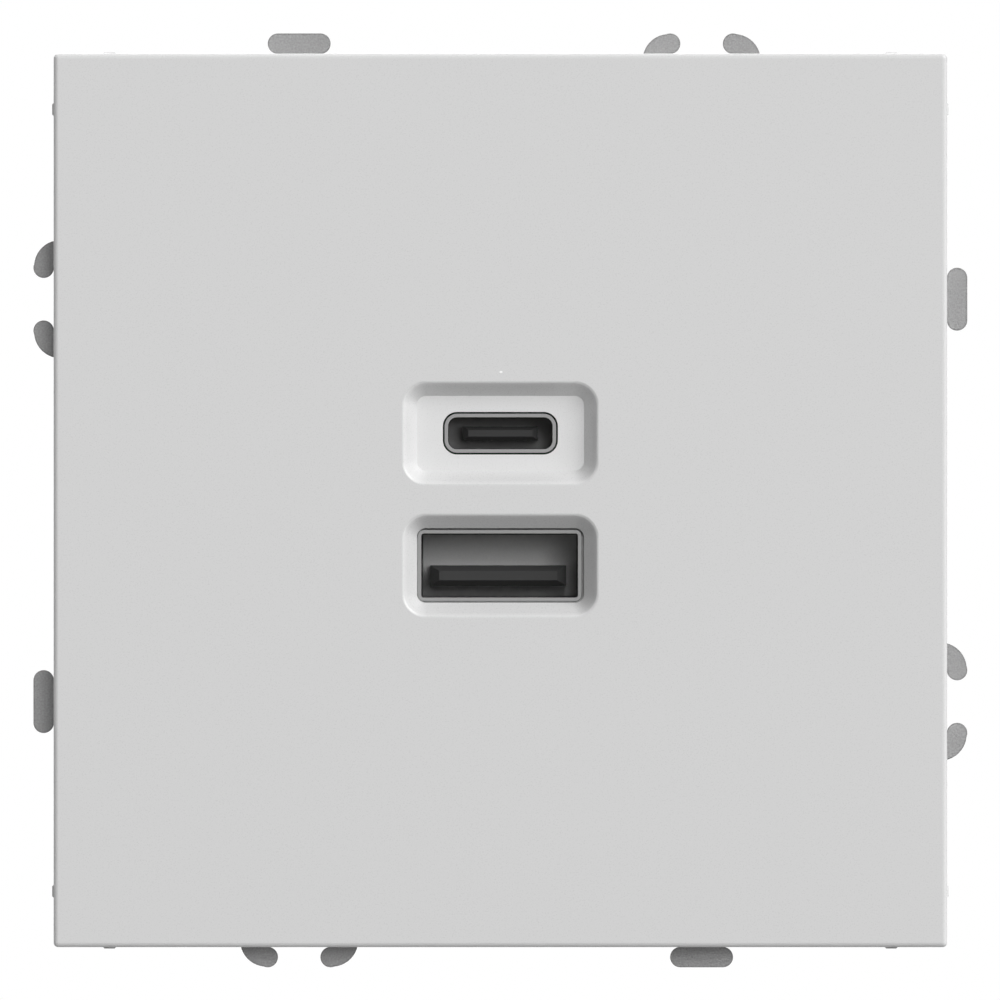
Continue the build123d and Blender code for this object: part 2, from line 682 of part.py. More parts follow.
with BuildPart() as usb_c_contacts:
    with BuildSketch(Plane.XZ.offset(usb_c_back_wall)):
        with Locations((0, port_c_height)):
            with GridLocations(usb_c_contact_pitch, usb_c_tongue_thickness - usb_c_contact_thickness, 12, 2):
                Rectangle(usb_c_contact_width, usb_c_contact_thickness)
    extrude(amount=usb_c_contact_length)
usb_c_contacts.part.label = "usb_c_contacts"
export_step(usb_c_contacts.part, "parts/usb_c_contacts.step")


# Type-A port: a folded steel shell, a low tongue with chamfered front and four contacts let into its top
usb_a_tongue_thickness = 1.61
usb_a_tongue_drop = 0.8
usb_a_tongue_shift = -0.17
usb_a_tongue_setback = 1.2
usb_a_back_wall = 1.5
usb_a_nose = 0.6
usb_a_nose_side = 0.715
usb_a_nose_top = 0.435
usb_a_tongue_room = 0.82
usb_a_corner = 0.2
usb_a_contact_width = 1.1
usb_a_contact_thickness = 0.2
usb_a_contact_setback = 0.5
usb_a_contact_inner = 1.0
usb_a_contact_outer = 3.5
usb_a_tongue_width = usb_a_opening_width - 2 * usb_a_tongue_room
usb_a_tongue_front = shell_front - usb_a_tongue_setback
usb_a_tongue_place = (usb_a_tongue_shift, port_a_height - usb_a_tongue_drop)
usb_a_contact_height = usb_a_tongue_place[1] + usb_a_tongue_thickness / 2 - usb_a_contact_thickness / 2
usb_a_contact_places = [
    (usb_a_tongue_shift + way * across, usb_a_contact_height)
    for way in (-1, 1)
    for across in (usb_a_contact_inner, usb_a_contact_outer)
]
usb_a_contact_length = usb_a_back_wall + usb_a_tongue_front - usb_a_nose - usb_a_contact_setback
with BuildPart() as usb_a_shell:
    with BuildSketch(Plane.XZ.offset(-port_board_front)):
        with Locations((usb_a_shift, port_a_height)):
            RectangleRounded(usb_a_shell_width, usb_a_shell_height, shell_sheet + usb_a_corner)
            RectangleRounded(usb_a_opening_width, usb_a_opening_height, usb_a_corner, mode=Mode.SUBTRACT)
    extrude(amount=shell_front + port_board_front)
usb_a_shell.part.label = "usb_a_shell"
export_step(usb_a_shell.part, "parts/usb_a_shell.step")

with BuildPart() as usb_a_insulator:
    with BuildSketch(Plane.XZ.offset(-port_board_front)):
        with Locations((usb_a_shift, port_a_height)):
            RectangleRounded(usb_a_opening_width, usb_a_opening_height, usb_a_corner)
    extrude(amount=port_board_front - usb_a_back_wall - block_relief_depth)
    with BuildSketch(Plane.XZ.offset(-usb_a_back_wall - block_relief_depth)):
        with Locations((usb_a_shift, port_a_height)):
            Rectangle(usb_a_opening_width - 2 * block_relief, usb_a_opening_height - 2 * block_relief)
    extrude(amount=block_relief_depth)
    with BuildSketch(Plane.XZ.offset(-usb_a_back_wall)):
        with Locations(usb_a_tongue_place):
            Rectangle(usb_a_tongue_width, usb_a_tongue_thickness)
    extrude(amount=usb_a_tongue_front - usb_a_nose + usb_a_back_wall)
    with BuildSketch(Plane.XZ.offset(usb_a_tongue_front - usb_a_nose)):
        with Locations(usb_a_tongue_place):
            Rectangle(usb_a_tongue_width, usb_a_tongue_thickness)
    with BuildSketch(Plane.XZ.offset(usb_a_tongue_front)):
        with Locations(usb_a_tongue_place):
            Rectangle(usb_a_tongue_width - 2 * usb_a_nose_side, usb_a_tongue_thickness - 2 * usb_a_nose_top)
    loft(ruled=True)
    with BuildSketch(Plane.XZ.offset(-usb_a_back_wall)):
        with Locations(*usb_a_contact_places):
            Rectangle(usb_a_contact_width, usb_a_contact_thickness)
    extrude(amount=usb_a_contact_length, mode=Mode.SUBTRACT)
usb_a_insulator.part.label = "usb_a_insulator"
export_step(usb_a_insulator.part, "parts/usb_a_insulator.step")

with BuildPart() as usb_a_contacts:
    with BuildSketch(Plane.XZ.offset(-usb_a_back_wall)):
        with Locations(*usb_a_contact_places):
            Rectangle(usb_a_contact_width, usb_a_contact_thickness)
    extrude(amount=usb_a_contact_length)
usb_a_contacts.part.label = "usb_a_contacts"
export_step(usb_a_contacts.part, "parts/usb_a_contacts.step")


# Converter parts on the back of the port board
inductor_side = 7.0
inductor_corner = 1.0
inductor_height = 3.0
inductor_from_edge = 4.2
converter_row = 8.0
chip_row = -6.0
chip_width = 4.0
chip_length = 5.0
chip_height = 1.5
inductor_across = board_width / 2 - inductor_from_edge - inductor_side / 2
with BuildPart() as power_inductors:
    with BuildSketch(Plane.XZ.offset(-port_board_back - inductor_height)):
        with Locations((-inductor_across, converter_row), (inductor_across, converter_row)):
            RectangleRounded(inductor_side, inductor_side, inductor_corner)
    extrude(amount=inductor_height)
power_inductors.part.label = "power_inductors"
export_step(power_inductors.part, "parts/power_inductors.step")

with BuildPart() as control_chips:
    with BuildSketch(Plane.XZ.offset(-port_board_back - chip_height)):
        with Locations((0, converter_row), (0, chip_row), (-inductor_across, chip_row), (inductor_across, chip_row)):
            Rectangle(chip_width, chip_length)
    extrude(amount=chip_height)
control_chips.part.label = "control_chips"
export_step(control_chips.part, "parts/control_chips.step")


# Link between the boards: a moulded spacer and five square pins through both boards
with BuildPart() as board_header:
    with BuildSketch(Plane.XZ.offset(-main_board_front)):
        with Locations((0, header_height)):
            Rectangle(header_pins_count * header_pitch + 2 * header_end, header_thickness)
            with GridLocations(header_pitch, header_pitch, header_pins_count, 1):
                Rectangle(header_pin, header_pin, mode=Mode.SUBTRACT)
    extrude(amount=main_board_front - port_board_back)
board_header.part.label = "board_header"
export_step(board_header.part, "parts/board_header.step")

with BuildPart() as header_pins:
    with BuildSketch(Plane.XZ.offset(-main_board_back - header_pin_tail)):
        with Locations((0, header_height)):
            with GridLocations(header_pitch, header_pitch, header_pins_count, 1):
                Rectangle(header_pin, header_pin)
    extrude(amount=main_board_back - port_board_front + header_pin_tail + header_pin_lead)
header_pins.part.label = "header_pins"
export_step(header_pins.part, "parts/header_pins.step")


# Main board: the power supply, with its parts on the back
with BuildPart() as main_board:
    with BuildSketch(Plane.XZ.offset(-main_board_back)):
        RectangleRounded(board_width, board_height, board_corner)
        with Locations((0, header_height)):
            with GridLocations(header_pitch, header_pitch, header_pins_count, 1):
                Circle(header_pin * 0.78, mode=Mode.SUBTRACT)
        with Locations(
            (-terminal_x, bar_bottom + terminal_bar_thickness / 2),
            (terminal_x, bar_bottom + terminal_bar_thickness / 2),
        ):
            Rectangle(terminal_bar_width, terminal_bar_thickness, mode=Mode.SUBTRACT)
    extrude(amount=board_thickness)
main_board.part.label = "main_board"
export_step(main_board.part, "parts/main_board.step")


# Choke: a ferrite bobbin with a copper winding, above the terminals
part_gap = 0.4
choke_radius = 2.5
choke_height = 9.0
choke_flange = 1.2
choke_place = (0, cage_top + part_gap + choke_radius)
with BuildPart() as choke_core:
    with BuildSketch(Plane.XZ.offset(-main_board_back - choke_height)):
        with Locations(choke_place):
            Circle(choke_radius)
    extrude(amount=choke_height)
    with BuildSketch(Plane.XZ.offset(choke_flange - main_board_back - choke_height)):
        with Locations(choke_place):
            Circle(choke_radius)
            Circle(choke_radius / 2, mode=Mode.SUBTRACT)
    extrude(amount=choke_height - 2 * choke_flange, mode=Mode.SUBTRACT)
choke_core.part.label = "choke_core"
export_step(choke_core.part, "parts/choke_core.step")

with BuildPart() as choke_winding:
    with BuildSketch(Plane.XZ.offset(choke_flange - main_board_back - choke_height)):
        with Locations(choke_place):
            Circle(choke_radius - 0.2)
            Circle(choke_radius / 2, mode=Mode.SUBTRACT)
    extrude(amount=choke_height - 2 * choke_flange)
choke_winding.part.label = "choke_winding"
export_step(choke_winding.part, "parts/choke_winding.step")


# Transformer: a ferrite core with its middle leg through a wound bobbin that stands on two rails
core_width = 13.2
core_length = 12.8
core_thickness = 5.6
core_leg = 2.4
core_window = 8.0
core_gap = 3.0
bobbin_wall = 0.7
bobbin_flange = 0.8
bobbin_rail = 3.2
transformer_place = (0, choke_place[1] + choke_radius + part_gap + core_length / 2)
core_middle = main_board_back + core_thickness
bobbin_width = 2 * core_gap - core_leg - 0.2 + 2 * bobbin_wall
bobbin_depth = core_thickness + 0.2 + 2 * bobbin_wall
with BuildPart() as transformer_core:
    with BuildSketch(Plane.XZ.offset(-core_middle - core_thickness / 2)):
        with Locations(transformer_place):
            Rectangle(core_width, core_length)
            with GridLocations(2 * core_gap, core_gap, 2, 1):
                Rectangle(core_leg, core_window, mode=Mode.SUBTRACT)
    extrude(amount=core_thickness)
transformer_core.part.label = "transformer_core"
export_step(transformer_core.part, "parts/transformer_core.step")

with BuildPart() as transformer_bobbin:
    with BuildSketch(Plane.XY.offset(transformer_place[1] - core_window / 2)):
        with Locations((0, core_middle)):
            Rectangle(bobbin_width, bobbin_depth)
    extrude(amount=core_window)
    for edge in (-core_window / 2, core_window / 2 - bobbin_flange):
        with BuildSketch(Plane.XY.offset(transformer_place[1] + edge)):
            with Locations((0, core_middle)):
                Rectangle(2 * core_gap + core_leg - 0.2, 2 * core_thickness - 0.2)
        extrude(amount=bobbin_flange)
    for edge in (-core_length / 2, core_length / 2 - bobbin_rail):
        with BuildSketch(Plane.XY.offset(transformer_place[1] + edge)):
            with Locations((0, main_board_back + 1.0)):
                Rectangle(core_width - 1.2, 2.0)
        extrude(amount=bobbin_rail)
    with BuildSketch(Plane.XY.offset(transformer_place[1] - core_window / 2)):
        with Locations((0, core_middle)):
            Rectangle(2 * core_gap - core_leg, core_thickness)
    extrude(amount=core_window, mode=Mode.SUBTRACT)
transformer_bobbin.part.label = "transformer_bobbin"
export_step(transformer_bobbin.part, "parts/transformer_bobbin.step")

with BuildPart() as transformer_winding:
    with BuildSketch(Plane.XY.offset(transformer_place[1] - core_window / 2 + bobbin_flange)):
        with Locations((0, core_middle)):
            RectangleRounded(2 * core_gap + core_leg - 0.6, 2 * core_thickness - 1.4, 0.8)
            Rectangle(bobbin_width, bobbin_depth, mode=Mode.SUBTRACT)
    extrude(amount=core_window - 2 * bobbin_flange)
transformer_winding.part.label = "transformer_winding"
export_step(transformer_winding.part, "parts/transformer_winding.step")


# Capacitors: mains ones along the left edge of the board, low-voltage ones along the right edge
bulk_radius = 4.0
bulk_height = 11.5
bulk_place = (bulk_radius + 1.9 - board_width / 2, board_height / 2 - bulk_radius - 2.4)
with BuildPart() as bulk_capacitors:
    with BuildSketch(Plane.XZ.offset(-main_board_back - bulk_height)):
        with Locations(bulk_place, (bulk_place[0], bulk_place[1] - 2 * bulk_radius - part_gap)):
            Circle(bulk_radius)
    extrude(amount=bulk_height)
    fillet(bulk_capacitors.faces().group_by(Axis.Y)[-1].edges(), 0.5)
bulk_capacitors.part.label = "bulk_capacitors"
export_step(bulk_capacitors.part, "parts/bulk_capacitors.step")

output_radius = 3.15
output_height = 10.0
output_place = (board_width / 2 - output_radius - 0.85, board_height / 2 - output_radius - 4.2)
with BuildPart() as output_capacitors:
    with BuildSketch(Plane.XZ.offset(-main_board_back - output_height)):
        with Locations(output_place, (output_place[0], output_place[1] - 2 * output_radius - part_gap)):
            Circle(output_radius)
    extrude(amount=output_height)
    fillet(output_capacitors.faces().group_by(Axis.Y)[-1].edges(), 0.5)
output_capacitors.part.label = "output_capacitors"
export_step(output_capacitors.part, "parts/output_capacitors.step")

film_width = 4.5
film_length = 10.0
film_height = 11.0
film_bottom = post_side + part_gap - inside_height / 2
with BuildPart() as line_capacitor:
    with BuildSketch(Plane.XZ.offset(-main_board_back - film_height)):
        with Locations((film_width / 2 + 0.8 - board_width / 2, film_bottom + film_length / 2)):
            RectangleRounded(film_width, film_length, 0.5)
    extrude(amount=film_height)
line_capacitor.part.label = "line_capacitor"
export_step(line_capacitor.part, "parts/line_capacitor.step")

disc_radius = 3.8
disc_thickness = 3.2
disc_lead = 0.6
disc_inner = board_width / 2 - disc_thickness - 3.1
disc_height = post_side + part_gap + disc_radius + 0.6 - inside_height / 2
with BuildPart() as safety_capacitor:
    with BuildSketch(Plane.YZ.offset(disc_inner)):
        with Locations((main_board_back + disc_radius + 0.2, disc_height)):
            Circle(disc_radius)
    extrude(amount=disc_thickness)
    with BuildSketch(Plane.XZ.offset(-main_board_back - disc_radius / 2)):
        with Locations((disc_inner + disc_thickness / 2, disc_height)):
            with GridLocations(disc_radius, disc_radius, 1, 2):
                Rectangle(disc_lead, disc_lead)
    extrude(amount=disc_radius / 2)
safety_capacitor.part.label = "safety_capacitor"
export_step(safety_capacitor.part, "parts/safety_capacitor.step")


# Small parts on the main board
fuse_radius = 1.5
fuse_length = 8.0
with BuildPart() as fuse_resistor:
    with BuildSketch(Plane.XZ.offset(-main_board_back - 1.0 - fuse_length)):
        with Locations((-terminal_x, cage_top + part_gap + fuse_radius)):
            Circle(fuse_radius)
    extrude(amount=fuse_length)
    with BuildSketch(Plane.XZ.offset(-main_board_back - 1.0)):
        with Locations((-terminal_x, cage_top + part_gap + fuse_radius)):
            Circle(0.4)
    extrude(amount=1.0)
fuse_resistor.part.label = "fuse_resistor"
export_step(fuse_resistor.part, "parts/fuse_resistor.step")

bridge_width = 6.2
bridge_length = 4.4
bridge_height = 2.8
with BuildPart() as bridge_rectifier:
    with BuildSketch(Plane.XZ.offset(-main_board_back - bridge_height)):
        with Locations(
            (
                bridge_width / 2 + 2.0 - board_width / 2,
                film_bottom + film_length + part_gap + bridge_length / 2,
            )
        ):
            Rectangle(bridge_width, bridge_length)
    extrude(amount=bridge_height)
bridge_rectifier.part.label = "bridge_rectifier"
export_step(bridge_rectifier.part, "parts/bridge_rectifier.step")

coupler_width = 4.6
coupler_length = 6.4
coupler_height = 3.4
with BuildPart() as optocoupler:
    with BuildSketch(Plane.XZ.offset(-main_board_back - coupler_height)):
        with Locations((board_width / 2 - coupler_width / 2 - 2.6, -2.6)):
            Rectangle(coupler_width, coupler_length)
    extrude(amount=coupler_height)
optocoupler.part.label = "optocoupler"
export_step(optocoupler.part, "parts/optocoupler.step")


# Terminals: on each pole a brass bar, a steel cage that rises and falls round it and a captive screw
bar_start = main_board_front - board_thickness / 2
bar_length = inside_depth - 2.0 - bar_start
for pole, across in (("line", -terminal_x), ("neutral", terminal_x)):
    with BuildPart() as terminal_bar:
        with BuildSketch(Plane.XY.offset(bar_bottom)):
            with Locations((across, bar_start + bar_length / 2)):
                Rectangle(terminal_bar_width, bar_length)
        extrude(amount=terminal_bar_thickness)
    terminal_bar.part.label = f"terminal_bar_{pole}"
    export_step(terminal_bar.part, f"parts/terminal_bar_{pole}.step")

    with BuildPart() as terminal_clamp:
        with BuildSketch(Plane.XY.offset(cage_bottom)):
            with Locations((across, terminal_depth)):
                Rectangle(cage_width, cage_depth)
        extrude(amount=cage_top - cage_bottom)
        fillet(terminal_clamp.edges().filter_by(Axis.Y), cage_sheet * 2 / 3)
        with BuildSketch(Plane.XY.offset(cage_bottom + cage_floor)):
            with Locations((across, terminal_depth)):
                Rectangle(cage_width - 2 * cage_sheet, cage_depth)
        extrude(amount=cage_top - cage_bottom - cage_floor - cage_sheet, mode=Mode.SUBTRACT)
        with BuildSketch(Plane.XY.offset(cage_bottom)):
            with Locations((across, terminal_depth)):
                Circle(terminal_screw_radius + thread_clearance)
        extrude(amount=cage_floor, mode=Mode.SUBTRACT)
    terminal_clamp.part.label = f"terminal_clamp_{pole}"
    export_step(terminal_clamp.part, f"parts/terminal_clamp_{pole}.step")

    with BuildPart() as terminal_screw:
        with BuildSketch(Plane.XY.offset(head_top)):
            with Locations((across, terminal_depth)):
                Circle(terminal_screw_radius)
        extrude(amount=bar_bottom - thread_clearance - head_top)
        with BuildSketch(Plane.XY.offset(head_bottom)):
            with Locations((across, terminal_depth)):
                Circle(terminal_head_radius)
        extrude(amount=terminal_head_height)
        fillet(terminal_screw.faces().sort_by(Axis.Z)[0].edges(), 0.3)
        with BuildSketch(Plane.XY.offset(head_bottom)):
            with Locations((across, terminal_depth)):
                Rectangle(3 * terminal_head_radius, 0.8)
        extrude(amount=terminal_head_height / 2, mode=Mode.SUBTRACT)
    terminal_screw.part.label = f"terminal_screw_{pole}"
    export_step(terminal_screw.part, f"parts/terminal_screw_{pole}.step")
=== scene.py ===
from math import cos, pi, radians, sin

import bmesh
import bpy
from mathutils import Matrix, Vector


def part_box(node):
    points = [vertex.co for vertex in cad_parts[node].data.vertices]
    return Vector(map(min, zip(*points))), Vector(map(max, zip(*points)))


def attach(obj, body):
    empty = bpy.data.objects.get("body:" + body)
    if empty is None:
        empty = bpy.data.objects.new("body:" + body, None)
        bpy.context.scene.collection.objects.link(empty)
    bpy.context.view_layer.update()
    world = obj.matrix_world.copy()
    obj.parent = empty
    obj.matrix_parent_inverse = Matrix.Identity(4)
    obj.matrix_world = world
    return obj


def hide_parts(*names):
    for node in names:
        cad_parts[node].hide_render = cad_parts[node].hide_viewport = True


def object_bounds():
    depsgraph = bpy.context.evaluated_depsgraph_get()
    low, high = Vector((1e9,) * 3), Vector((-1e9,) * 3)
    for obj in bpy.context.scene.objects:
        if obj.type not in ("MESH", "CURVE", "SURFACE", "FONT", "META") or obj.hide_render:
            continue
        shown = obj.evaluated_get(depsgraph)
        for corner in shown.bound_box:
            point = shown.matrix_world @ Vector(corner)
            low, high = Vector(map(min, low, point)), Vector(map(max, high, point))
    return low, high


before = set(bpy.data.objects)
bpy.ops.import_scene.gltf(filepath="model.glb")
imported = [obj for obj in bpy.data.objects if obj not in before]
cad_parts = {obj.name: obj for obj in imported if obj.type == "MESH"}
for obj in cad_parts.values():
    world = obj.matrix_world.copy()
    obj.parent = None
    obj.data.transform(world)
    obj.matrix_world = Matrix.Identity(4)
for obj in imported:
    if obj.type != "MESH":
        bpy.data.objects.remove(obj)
cad_box = [list(corner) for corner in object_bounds()]


# Mounting frame: one stamping from 1.2 mm steel sheet, with its tabs, horns and claw ears in one piece.
# It is zinc plated, an even dull grey with a fine sandy grain, and painted shade darkens the sheet along its
# edges.
# The claws are bent up from 0.9 mm sheet with the same plating, and their pins are riveted into the ears.
def grained_finish(name, colour, spread, grain, metal, roughness, rough_spread, bump, patches=0.35):
    finish = bpy.data.materials.new(name)
    finish.use_nodes = True
    nodes = finish.node_tree.nodes
    links = finish.node_tree.links
    shader = nodes["Principled BSDF"]
    shader.inputs["Metallic"].default_value = metal
    place = nodes.new("ShaderNodeTexCoord")

    fine = nodes.new("ShaderNodeTexNoise")
    fine.label = "Fine grain"
    fine.inputs["Scale"].default_value = 1 / grain
    fine.inputs["Detail"].default_value = 3.0
    links.new(place.outputs["Object"], fine.inputs["Vector"])

    patch_size = 40 * grain
    broad = nodes.new("ShaderNodeTexNoise")
    broad.label = "Slow patches"
    broad.inputs["Scale"].default_value = 1 / patch_size
    broad.inputs["Detail"].default_value = 2.0
    links.new(place.outputs["Object"], broad.inputs["Vector"])

    both = nodes.new("ShaderNodeMix")
    both.data_type = "FLOAT"
    both.inputs["Factor"].default_value = patches
    links.new(fine.outputs["Fac"], both.inputs["A"])
    links.new(broad.outputs["Fac"], both.inputs["B"])

    noise_low = 0.3
    noise_high = 0.7
    tone = nodes.new("ShaderNodeValToRGB")
    tone.label = "Colour of the grain"
    dark, light = tone.color_ramp.elements
    dark.position = noise_low
    dark.color = (*[part * (1 - spread) for part in colour], 1)
    light.position = noise_high
    light.color = (*[part * (1 + spread) for part in colour], 1)
    links.new(both.outputs["Result"], tone.inputs["Fac"])
    links.new(tone.outputs["Color"], shader.inputs["Base Color"])

    polish = nodes.new("ShaderNodeMapRange")
    polish.inputs["From Min"].default_value = noise_low
    polish.inputs["From Max"].default_value = noise_high
    polish.inputs["To Min"].default_value = roughness - rough_spread
    polish.inputs["To Max"].default_value = roughness + rough_spread
    links.new(both.outputs["Result"], polish.inputs["Value"])
    links.new(polish.outputs["Result"], shader.inputs["Roughness"])

    relief = nodes.new("ShaderNodeBump")
    relief.inputs["Strength"].default_value = 0.6
    relief.inputs["Distance"].default_value = bump
    links.new(fine.outputs["Fac"], relief.inputs["Height"])
    links.new(relief.outputs["Normal"], shader.inputs["Normal"])
    return finish


def dress(finish, *names):
    for name in names:
        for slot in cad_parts[name].material_slots:
            slot.material = finish


def tinted(finish, blend):
    # A Mix node's colours go in at 6 and 7, and its mixed colour comes out at 2
    nodes = finish.node_tree.nodes
    links = finish.node_tree.links
    mix = nodes.new("ShaderNodeMix")
    mix.data_type = "RGBA"
    mix.blend_type = blend
    base = mix.inputs[6]
    tint = mix.inputs[7]
    mixed = mix.outputs[2]
    links.new(nodes["Color Ramp"].outputs["Color"], base)
    links.new(mixed, nodes["Principled BSDF"].inputs["Base Color"])
    return mix.inputs["Factor"], tint


# Painted shade: darkens a material where its surface rounds over an edge.
def painted_edge_shade(finish, width, shade):
    nodes = finish.node_tree.nodes
    links = finish.node_tree.links
    rounded = nodes.new("ShaderNodeBevel")
    rounded.samples = 6
    rounded.inputs["Radius"].default_value = width
    flat = nodes.new("ShaderNodeNewGeometry")
    likeness = nodes.new("ShaderNodeVectorMath")
    likeness.operation = "DOT_PRODUCT"
    links.new(rounded.outputs["Normal"], likeness.inputs[0])
    links.new(flat.outputs["True Normal"], likeness.inputs[1])
    still_flat = 0.995
    full_edge = 0.88
    edge = nodes.new("ShaderNodeMapRange")
    edge.inputs["From Min"].default_value = still_flat
    edge.inputs["From Max"].default_value = full_edge
    links.new(likeness.outputs["Value"], edge.inputs["Value"])
    share, tint = tinted(finish, "MULTIPLY")
    links.new(edge.outputs["Result"], share)
    tint.default_value = (shade, shade, shade, 1)


zinc_sheet = grained_finish(
    "zinc_sheet", colour=(0.170, 0.170, 0.170), spread=0.26, grain=0.00015,
    metal=0.88, roughness=0.33, rough_spread=0.06, bump=0.000010,
)
# Painted shade darkens the zinc along the sheet's edges.
painted_edge_shade(zinc_sheet, width=0.00025, shade=0.6)
dress(zinc_sheet, "mounting_frame", "claw_left", "claw_right")
pin_steel = grained_finish(
    "pin_steel", colour=(0.42, 0.42, 0.42), spread=0.10, grain=0.00012,
    metal=0.9, roughness=0.36, rough_spread=0.06, bump=0.000004,
)
dress(pin_steel, "claw_pin_left", "claw_pin_right", "housing_screws")


# Claw screws: slotted steel screws whose heads are reached when the cover is off.
# The head and collar keep the turned shape, and the shank carries a rolled 0.5 mm thread.
# The thread follows a helix round the core, so it is drawn by a node tree with named sizes.
thread_pitch = 0.0005
thread_core = 0.00122
thread_crest = 0.00021


def thread_tree():
    tree = bpy.data.node_groups.new("rolled_thread", "GeometryNodeTree")
    usual = {"Core Radius": thread_core, "Crest": thread_crest, "Pitch": thread_pitch, "Length": 0.008}
    sizes = {}
    for name, value in usual.items():
        socket = tree.interface.new_socket(name, in_out="INPUT", socket_type="NodeSocketFloat")
        socket.default_value = value
        sizes[name] = socket.identifier
    socket = tree.interface.new_socket("Finish", in_out="INPUT", socket_type="NodeSocketMaterial")
    sizes["Finish"] = socket.identifier
    tree.interface.new_socket("Thread", in_out="OUTPUT", socket_type="NodeSocketGeometry")
    nodes = tree.nodes
    links = tree.links
    given = nodes.new("NodeGroupInput")
    result = nodes.new("NodeGroupOutput")

    turns = nodes.new("ShaderNodeMath")
    turns.operation = "DIVIDE"
    links.new(given.outputs["Length"], turns.inputs[0])
    links.new(given.outputs["Pitch"], turns.inputs[1])

    helix = nodes.new("GeometryNodeCurveSpiral")
    helix.inputs["Resolution"].default_value = 32
    links.new(turns.outputs[0], helix.inputs["Rotations"])
    links.new(given.outputs["Core Radius"], helix.inputs["Start Radius"])
    links.new(given.outputs["Core Radius"], helix.inputs["End Radius"])
    links.new(given.outputs["Length"], helix.inputs["Height"])

    upright = nodes.new("GeometryNodeSetCurveNormal")
    upright.mode = "Z_UP"
    links.new(helix.outputs["Curve"], upright.inputs["Curve"])

    ridge = nodes.new("GeometryNodeCurvePrimitiveCircle")
    ridge.inputs["Resolution"].default_value = 4
    links.new(given.outputs["Crest"], ridge.inputs["Radius"])

    swept = nodes.new("GeometryNodeCurveToMesh")
    swept.inputs["Fill Caps"].default_value = True
    links.new(upright.outputs["Curve"], swept.inputs["Curve"])
    links.new(ridge.outputs["Curve"], swept.inputs["Profile Curve"])

    core = nodes.new("GeometryNodeMeshCylinder")
    core.inputs["Vertices"].default_value = 40
    links.new(given.outputs["Core Radius"], core.inputs["Radius"])
    links.new(given.outputs["Length"], core.inputs["Depth"])
    half = nodes.new("ShaderNodeMath")
    half.operation = "MULTIPLY"
    half.inputs[1].default_value = 0.5
    links.new(given.outputs["Length"], half.inputs[0])
    up = nodes.new("ShaderNodeCombineXYZ")
    links.new(half.outputs[0], up.inputs["Z"])
    raised = nodes.new("GeometryNodeTransform")
    links.new(core.outputs["Mesh"], raised.inputs["Geometry"])
    links.new(up.outputs["Vector"], raised.inputs["Translation"])

    joined = nodes.new("GeometryNodeJoinGeometry")
    links.new(swept.outputs["Mesh"], joined.inputs["Geometry"])
    links.new(raised.outputs["Geometry"], joined.inputs["Geometry"])
    real = nodes.new("GeometryNodeRealizeInstances")
    links.new(joined.outputs["Geometry"], real.inputs["Geometry"])
    painted = nodes.new("GeometryNodeSetMaterial")
    links.new(real.outputs["Geometry"], painted.inputs["Geometry"])
    links.new(given.outputs["Finish"], painted.inputs["Material"])
    links.new(painted.outputs["Geometry"], result.inputs["Thread"])
    return tree, sizes


def finished_piece(name, shape, finish):
    mesh = bpy.data.meshes.new(name)
    shape.to_mesh(mesh)
    shape.free()
    mesh.materials.append(finish)
    piece = bpy.data.objects.new(name, mesh)
    bpy.context.scene.collection.objects.link(piece)
    return piece


def threaded_screw(name, node, cut, outward, length, finish):
    head = bmesh.new()
    head.from_mesh(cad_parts[node].data)
    same_place = 1e-7
    bmesh.ops.remove_doubles(head, verts=head.verts, dist=same_place)
    parts = head.verts[:] + head.edges[:] + head.faces[:]
    bmesh.ops.bisect_plane(head, geom=parts, plane_co=cut, plane_no=outward, clear_outer=True)
    rim = [edge for edge in head.edges if edge.is_boundary]
    bmesh.ops.holes_fill(head, edges=rim)

    sized = bpy.data.objects.new(name + "_shank", bpy.data.meshes.new(name + "_shank"))
    bpy.context.scene.collection.objects.link(sized)
    tool = sized.modifiers.new("Rolled thread", "NODES")
    tool.node_group = rolled_thread
    tool[thread_sizes["Core Radius"]] = thread_core
    tool[thread_sizes["Crest"]] = thread_crest
    tool[thread_sizes["Pitch"]] = thread_pitch
    tool[thread_sizes["Length"]] = length
    tool[thread_sizes["Finish"]] = finish
    drawn = bpy.data.meshes.new_from_object(sized.evaluated_get(bpy.context.evaluated_depsgraph_get()))
    bpy.data.objects.remove(sized)

    low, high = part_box(node)
    start = (low + high) / 2
    for axis in range(3):
        if outward[axis]:
            start[axis] = cut[axis]
    turn = outward.to_track_quat("Z", "Y").to_matrix().to_4x4()
    drawn.transform(Matrix.Translation(start) @ turn)
    head.from_mesh(drawn)
    for face in head.faces:
        face.material_index = 0
    screw = finished_piece(name, head, finish)
    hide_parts(node)
    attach(screw, node)


rolled_thread, thread_sizes = thread_tree()
screw_steel = grained_finish(
    "screw_steel", colour=(0.50, 0.49, 0.47), spread=0.10, grain=0.00010,
    metal=1.0, roughness=0.30, rough_spread=0.06, bump=0.000003,
)
for hand in ("left", "right"):
    threaded_screw(
        "threaded_claw_screw_" + hand,
        "claw_screw_" + hand,
        cut=Vector((0, 0.0009, 0)),
        outward=Vector((0, 1, 0)),
        length=0.0079,
        finish=screw_steel,
    )


# Claw nuts: brass barrels with a cross hole for the screw and a trunnion at each end for the claw.
# They are turned from bar, so the brass is bare and bright with a fine grain.
# The current bars of the terminals are the same brass.
bar_brass = grained_finish(
    "bar_brass", colour=(0.66, 0.47, 0.20), spread=0.08, grain=0.00015,
    metal=1.0, roughness=0.32, rough_spread=0.08, bump=0.000003,
)
dress(bar_brass, "claw_nut_left", "claw_nut_right", "terminal_bar_line", "terminal_bar_neutral")


